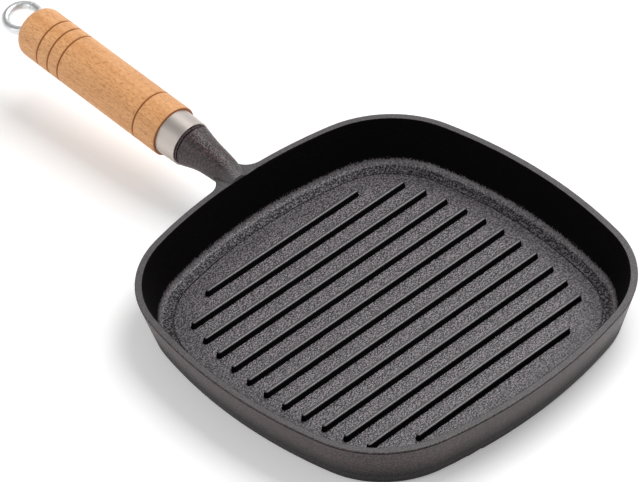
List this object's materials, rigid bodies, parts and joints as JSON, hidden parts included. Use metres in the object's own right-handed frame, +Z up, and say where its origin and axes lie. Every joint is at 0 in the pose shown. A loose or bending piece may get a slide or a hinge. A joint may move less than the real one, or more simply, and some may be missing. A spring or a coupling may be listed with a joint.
{
  "type": "grill pan",
  "caption": "Square cast iron grill pan with bowed sides and round corners, raised parallel ribs on its floor, and a turned wooden handle on a cast neck with a hanging eye.",
  "frame": {"origin": "middle of the flat underside, on the surface that the pan stands on", "axes": "+Z up, handle along -X, ribs along Y"},
  "size_m": [0.4303, 0.2396, 0.0593],
  "materials": {
    "cast_iron": "sand cast and baked black, pebbled grain, rim top ground smooth",
    "ferrule_metal": "satin, rolled tube",
    "beech": "turned beech, lightly oiled, burnt dark in its grooves",
    "washer_steel": "stamped, zinc plated",
    "zinc_steel": "bent and welded wire, bright zinc plate"
  },
  "bodies": {
    "pan": {"pan_body": "cast_iron", "ferrule": "ferrule_metal", "wood_handle": "beech"},
    "washer": {"washer": "washer_steel"},
    "eye_bolt": {"eye_bolt": "zinc_steel"}
  },
  "joints": [
    {"name": "washer_slide", "type": "slide", "parent": "pan", "child": "washer", "axis": [-0.9967, 0, 0.0811], "range_m": [0, 0.015]},
    {"name": "eye_bolt_turn", "type": "hinge", "parent": "washer", "child": "eye_bolt", "pos_m": [-0.29801, 0, 0.04521], "axis": [-0.9967, 0, 0.0811], "range_deg": [0, 5400]}
  ],
  "couplings": [
    {"joint": "eye_bolt_turn", "follows": "washer_slide", "rad_per_m": 6283.2}
  ]
}
